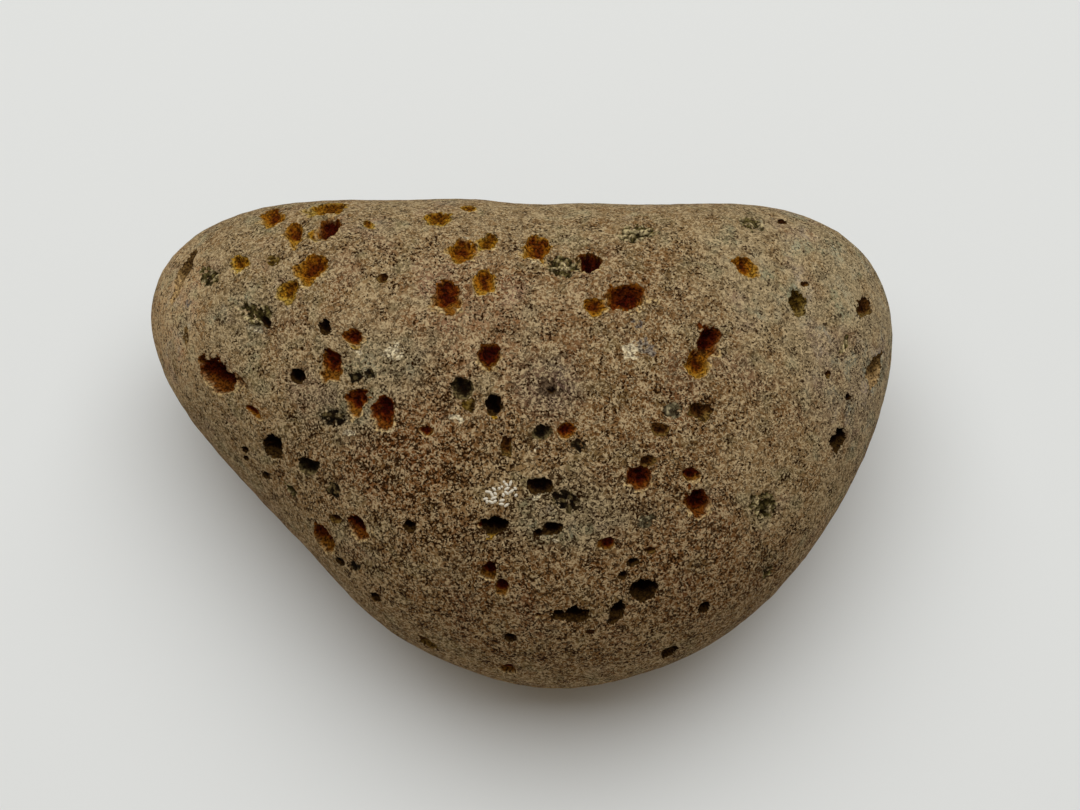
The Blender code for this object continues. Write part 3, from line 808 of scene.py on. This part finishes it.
def patch_share(points, normals, patch):
    """How far each point is inside a broad patch: 1 in its middle, 0 outside it and on the hidden side."""
    across, upward = picture_place(points)
    middle = ((patch.px - PICTURE_PIXELS[0] / 2) * PIXEL, (PICTURE_PIXELS[1] / 2 - patch.py) * PIXEL)
    share = np.hypot((across - middle[0]) / patch.across, (upward - middle[1]) / patch.upward)
    share *= 1 + PATCH_WARP[0] * noise_at(points, PATCH_WARP[1], shift=PATTERNS["patch"])
    facing = smooth_step(*PATCH_FACING, normals @ sight_axes()[2])
    return smooth_step(*PATCH_FADE, share) * facing


def stone_tones(points, normals):
    """The stone's broad colour at each vertex: its own tones, with painted shade over the lower part and
    painted light on the limbs.
    """
    colours = np.repeat([STONE], len(points), axis=0)
    drift = noise_at(points, TONE_DRIFT, shift=PATTERNS["tone"])
    colours = mix(colours, np.array([PALE_OLIVE]), smooth_step(*OLIVE_FROM, drift) * OLIVE_SHARE)
    colours = mix(colours, np.array([RUSTY_BROWN]), smooth_step(*RUSTY_FROM, -drift) * RUSTY_SHARE)
    for patch in PATCHES:
        share = patch_share(points, normals, patch) * patch.strength
        colours = mix(colours, np.array([patch.colour]), share)
    return colours


def crispness(points, normals):
    """How strongly the grain stands out: 1, less where it is faint, and more where its gaps are deep."""
    crisp = np.ones(len(points))
    for patch in GRAIN_PATCHES:
        crisp += patch_share(points, normals, patch) * patch.strength
    return crisp


def add_values(mesh, name, values):
    """Stores one value for each vertex under a name that the material reads."""
    mesh.attributes.new(name, "FLOAT", "POINT").data.foreach_set("value", np.float32(values))


def add_colours(mesh, name, colours):
    """Stores one colour for each vertex under a name that the material reads."""
    opaque = np.column_stack([colours, np.ones(len(colours))])
    mesh.attributes.new(name, "FLOAT_COLOR", "POINT").data.foreach_set("color", np.float32(opaque).ravel())


class Nodes:
    """Shorthand for making and joining a material's nodes."""

    def __init__(self, material):
        material.use_nodes = True
        self.tree = material.node_tree
        self.shader = self.tree.nodes["Principled BSDF"]

    def new(self, kind, inputs=None, **settings):
        node = self.tree.nodes.new(kind)
        for name, value in settings.items():
            setattr(node, name, value)
        for name, value in (inputs or {}).items():
            self.put(node, name, value)
        return node

    def put(self, node, name, value):
        self.feed(node.inputs[name], value)

    def feed(self, socket, value):
        if isinstance(value, bpy.types.NodeSocket):
            self.tree.links.new(value, socket)
        else:
            socket.default_value = value

    def ramp(self, value, low, high, to_low=0.0, to_high=1.0):
        """The value eased from its low end to its high end."""
        names = {"Value": value, "From Min": low, "From Max": high, "To Min": to_low, "To Max": to_high}
        return self.new("ShaderNodeMapRange", names, interpolation_type="SMOOTHSTEP").outputs["Result"]

    def blend(self, share, first, second, how="MIX"):
        node = self.new("ShaderNodeMix", data_type="RGBA", blend_type=how)
        for name, value in (("Factor_Float", share), ("A_Color", first), ("B_Color", second)):
            self.feed(next(socket for socket in node.inputs if socket.identifier == name), value)
        return next(socket for socket in node.outputs if socket.identifier == "Result_Color")

    def math(self, how, *values):
        node = self.new("ShaderNodeMath", operation=how)
        for place, value in enumerate(values):
            self.put(node, place, value)
        return node.outputs["Value"]


# Blots in the ground: size in millimetres, where each kind's pattern starts, what it multiplies the broad
# colour by, and its strength. In turn they are mauve, green-grey, rust and cream
Blot = namedtuple("Blot", "size seed tint strength")
BLOTS = (
    Blot(size=4.5, seed=24, tint=(0.95, 0.9, 1.08, 1), strength=0.8),
    Blot(size=3, seed=21, tint=(0.83, 1.04, 1.15, 1), strength=0.8),
    Blot(size=2.4, seed=22, tint=(0.75, 0.55, 0.35, 1), strength=0.55),
    Blot(size=1.5, seed=23, tint=(1.4, 1.6, 1.9, 1), strength=0.55),
)

# The grain: sizes of its specks, curls, pores and clusters, and of the drift between darker and paler ground
SPECK = 0.24
CURL = 0.45
PORE = 0.9
CLUSTER = 0.5
DRIFT = 1.4
NOISE_ROUGHNESS = 0.55
DRIFT_SHARE = 0.4
DARK_GRAIN = (0.02, 0.007, 0.0008, 1)
PALE_GRAIN = (0.54, 0.41, 0.23, 1)
GRAIN_HEIGHT = 0.07

# How a lining's red, green and blue go from its dark crumbs to its bright ones, and how strong the stone's
# dark gaps are in it
CRUMBS = {"Red": (0.45, 1.75), "Green": (0.4, 1.72), "Blue": (0.4, 1.72)}
FLECKS = 0.35

# Between which of its values each part of the grain goes from none to full, and so does a lining
PALE_FROM = (0.58, 0.76)
GAPS_FROM = (0.46, 0.32)
CURL_LINE = (0.08, 0.02)
CURLED_FROM = (0.4, 0.55)
PORES_FROM = (0.27, 0.22)
BLOTS_FROM = (0.52, 0.64)
CRUMBS_FROM = (0.36, 0.64)
LINED_FROM = (0.42, 0.58)

# How strong the pale grain is where the gaps are plain and where they are deepest, and the dark curls' part
DEEPEST_FROM = (1.0, 1.5)
PALE_SHARE = (0.72, 0.64)
DARK_CURLS = 0.6

# How sharply a lining gathers in clusters, and how far these stand apart
CLUSTER_GAIN = 2.4
CLUSTER_GAP = 0.2

# The stone's finish, and how far its dark gaps sink beside its other grain
STONE_ROUGHNESS = 0.85
STONE_SHEEN = 0.03
GAP_DEPTH = 1.2
BUMP_STRENGTH = 0.8


def stone_material():
    """Worn lava: a speckled ground with pale curls and dark gaps, over the broad colour and the linings."""
    material = bpy.data.materials.new("lava_worn")
    nodes = Nodes(material)
    place = nodes.new("ShaderNodeTexCoord").outputs["Object"]
    tone = nodes.new("ShaderNodeAttribute", attribute_name="tone").outputs["Color"]
    crisp = nodes.new("ShaderNodeAttribute", attribute_name="crisp").outputs["Fac"]
    lining = nodes.new("ShaderNodeAttribute", attribute_name="lining").outputs["Color"]
    lined = nodes.new("ShaderNodeAttribute", attribute_name="lined").outputs["Fac"]

    def speckle(size, seed, detail=1.0):
        inputs = {"Vector": place, "W": seed, "Scale": 1 / (size * MM), "Detail": detail}
        inputs["Roughness"] = NOISE_ROUGHNESS
        return nodes.new("ShaderNodeTexNoise", inputs, noise_dimensions="4D").outputs["Fac"]

    def curls(seed):
        """Short bent lines, 1 along their middle."""
        ridge = nodes.math("ABSOLUTE", nodes.math("SUBTRACT", speckle(CURL, seed), 0.5))
        kept = nodes.ramp(speckle(CURL, seed + 1), *CURLED_FROM)
        return nodes.math("MULTIPLY", nodes.ramp(ridge, *CURL_LINE), kept)

    specks = speckle(SPECK, seed=0.0, detail=1.5)
    drift = nodes.math("SUBTRACT", speckle(DRIFT, seed=1.0), 0.5)
    ground = nodes.math("ADD", specks, nodes.math("MULTIPLY", drift, DRIFT_SHARE))
    pale_curls = nodes.math("MAXIMUM", curls(seed=2.0), curls(seed=14.0))
    dark_curls = nodes.math("MULTIPLY", curls(seed=5.0), DARK_CURLS)
    pale = nodes.math("MAXIMUM", nodes.ramp(ground, *PALE_FROM), pale_curls)
    gaps = nodes.math("MAXIMUM", nodes.ramp(ground, *GAPS_FROM), dark_curls)
    # Painted shade: the pores are dark spots that stand in for the shade inside holes too small for the mesh
    dark = nodes.math("MAXIMUM", gaps, nodes.ramp(speckle(PORE, seed=11.0), *PORES_FROM))
    pale_share = nodes.math("MULTIPLY", pale, nodes.ramp(crisp, *DEEPEST_FROM, *PALE_SHARE))
    dark_share = nodes.math("MULTIPLY", dark, crisp)
    for blot in BLOTS:
        inside = nodes.ramp(speckle(blot.size, blot.seed, detail=2.0), *BLOTS_FROM)
        tone = nodes.blend(nodes.math("MULTIPLY", inside, blot.strength), tone, blot.tint, "MULTIPLY")
    stone = nodes.blend(dark_share, nodes.blend(pale_share, tone, PALE_GRAIN), DARK_GRAIN)
    crumbs = {name: nodes.ramp(specks, *CRUMBS_FROM, *ends) for name, ends in CRUMBS.items()}
    crumb = nodes.new("ShaderNodeCombineColor", crumbs).outputs["Color"]
    crumbly = nodes.blend(1.0, lining, crumb, "MULTIPLY")
    flecked = nodes.blend(nodes.math("MULTIPLY", gaps, FLECKS), crumbly, DARK_GRAIN)
    clustered = nodes.math("MULTIPLY", speckle(CLUSTER, seed=8.0, detail=1.5), CLUSTER_GAIN)
    cluster = nodes.math("SUBTRACT", clustered, CLUSTER_GAP)
    shown = nodes.ramp(nodes.math("MULTIPLY", lined, cluster), *LINED_FROM)
    nodes.put(nodes.shader, "Base Color", nodes.blend(shown, stone, flecked))
    nodes.put(nodes.shader, "Roughness", STONE_ROUGHNESS)
    nodes.put(nodes.shader, "Specular IOR Level", STONE_SHEEN)
    height = nodes.math("SUBTRACT", nodes.math("ADD", ground, pale), nodes.math("MULTIPLY", dark, GAP_DEPTH))
    relief_inputs = {"Height": height, "Strength": BUMP_STRENGTH, "Distance": GRAIN_HEIGHT * MM}
    bump = nodes.new("ShaderNodeBump", relief_inputs)
    nodes.put(nodes.shader, "Normal", bump.outputs["Normal"])
    return material


def plain_material(name, colour, roughness):
    """A material of one colour."""
    material = bpy.data.materials.new(name)
    nodes = Nodes(material)
    nodes.put(nodes.shader, "Base Color", colour)
    nodes.put(nodes.shader, "Roughness", roughness)
    return material


def new_object(name, data):
    """An object of this mesh, lamp or camera, put in the scene."""
    thing = bpy.data.objects.new(name, data)
    bpy.context.scene.collection.objects.link(thing)
    return thing


def make_pebble():
    """The carved stone, and a tree to cast rays at it in millimetres."""
    body = Body()
    placed = placed_marks(body.tree)
    mesh = ball(FINE_CUTS)
    halve_round(mesh, body, placed, ROUND_MARKS)
    halve_round(mesh, body, [spot for spot in placed if spot.kind == "pit"], ROUND_PITS)
    bmesh.ops.triangulate(mesh, faces=mesh.faces)
    points = body.points(points_of(mesh))
    move_to(mesh, points)
    bmesh.ops.recalc_face_normals(mesh, faces=mesh.faces)
    mesh.normal_update()
    normals = np.array([vertex.normal for vertex in mesh.verts])
    carving = Carving(points)
    carve = {"stain": carving.stain, "scar": carving.scar, "pit": carving.pit}
    for spot in placed:
        carve[spot.kind](spot)
    carved = points + normals * relief(points)[:, None] + carving.way * carving.depth[:, None]
    carved[:, 2] = np.maximum(carved[:, 2], 0.0)
    move_to(mesh, carved)
    tree = BVHTree.FromBMesh(mesh)
    mesh.transform(Matrix.Scale(MM, 4))
    data = bpy.data.meshes.new("worn_pebble")
    mesh.to_mesh(data)
    mesh.free()
    add_colours(data, "tone", stone_tones(points, normals))
    add_values(data, "crisp", crispness(points, normals))
    add_colours(data, "lining", carving.colour)
    add_values(data, "lined", carving.cover)
    data.materials.append(stone_material())
    data.shade_smooth()
    return new_object("worn_pebble", data), tree


def make_white_crystals(tree):
    """The little blades of white mineral, half sunk in the stone."""
    blades = bmesh.new()
    for blade in WHITE_BLADES:
        point, normal = seen_at(tree, blade.px, blade.py)
        long_way = along(blade.turn, normal)
        axes = Matrix((long_way, normal.cross(long_way), normal)).transposed().to_4x4()
        sizes = Matrix.Diagonal((blade.long / 2, BLADE_WIDTH / 2, BLADE_THICKNESS / 2, 1))
        place = Matrix.Scale(MM, 4) @ Matrix.Translation(point) @ axes @ sizes
        bmesh.ops.create_icosphere(blades, subdivisions=1, radius=1.0, matrix=place)
    data = bpy.data.meshes.new("white_crystals")
    blades.to_mesh(data)
    blades.free()
    data.materials.append(plain_material("white_mineral", WHITE_MINERAL, MINERAL_ROUGHNESS))
    return new_object("white_crystals", data)


# The floor's half size in metres, and how far it lies below the pebble's flat, so that the two don't merge
FLOOR_REACH = 2.0
BELOW_PEBBLE = 0.00002
FLOOR = (0.75, 0.77, 0.765, 1)
FLOOR_ROUGHNESS = 0.7

# The light, in metres and watts: pale light from all round, and a broad soft window high beyond the pebble
ROOM = (1.0, 0.85, 0.68, 1)
ROOM_STRENGTH = 0.23
WINDOW = (0.975, 1.0, 1.025)
WINDOW_SIZE = (1.3, 0.85)
WINDOW_POWER = 9.3
WINDOW_ELEVATION = math.radians(71.0)
WINDOW_DISTANCE = 0.9

# The camera's sensor in millimetres, and the nearest that it sees in metres
SENSOR = 36.0
NEAREST = 0.005


def make_floor():
    """A plain pale floor."""
    mesh = bpy.data.meshes.new("floor")
    sides = ((-1, -1), (1, -1), (1, 1), (-1, 1))
    corners = [(x * FLOOR_REACH, y * FLOOR_REACH, -BELOW_PEBBLE) for x, y in sides]
    mesh.from_pydata(corners, [], [(0, 1, 2, 3)])
    mesh.materials.append(plain_material("pale_floor", FLOOR, FLOOR_ROUGHNESS))
    return new_object("floor", mesh)


def make_light():
    """A broad soft light from beyond the pebble, and pale light from all round."""
    world = bpy.data.worlds.new("pale_room")
    world.use_nodes = True
    world.node_tree.nodes["Background"].inputs["Color"].default_value = ROOM
    world.node_tree.nodes["Background"].inputs["Strength"].default_value = ROOM_STRENGTH
    bpy.context.scene.world = world
    data = bpy.data.lights.new("soft_window", "AREA")
    data.shape = "RECTANGLE"
    data.size, data.size_y = WINDOW_SIZE
    data.energy = WINDOW_POWER
    data.color = WINDOW
    lamp = new_object("soft_window", data)
    lamp.location = Vector((0, math.cos(WINDOW_ELEVATION), math.sin(WINDOW_ELEVATION))) * WINDOW_DISTANCE
    lamp.rotation_euler = (-lamp.location).to_track_quat("-Z", "Y").to_euler()


def make_camera():
    """The eye that the picture was taken from."""
    *_, back, aim = sight_axes()
    data = bpy.data.cameras.new("camera")
    data.sensor_width = SENSOR
    data.lens = data.sensor_width * EYE_DISTANCE / (PICTURE_PIXELS[0] * PIXEL)
    data.clip_start = NEAREST
    camera = new_object("camera", data)
    camera.location = (aim + EYE_DISTANCE * back) * MM
    camera.rotation_euler = back.to_track_quat("Z", "Y").to_euler()
    bpy.context.scene.camera = camera


pebble, tree = make_pebble()
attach(pebble, "root")
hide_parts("pebble")
crystals = make_white_crystals(tree)
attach(crystals, "root")
make_floor()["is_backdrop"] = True
make_light()
make_camera()
bpy.context.scene.view_settings.view_transform = "Standard"

boxes = (cad_bounds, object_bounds())
[[list(corner) for corner in box] for box in boxes]
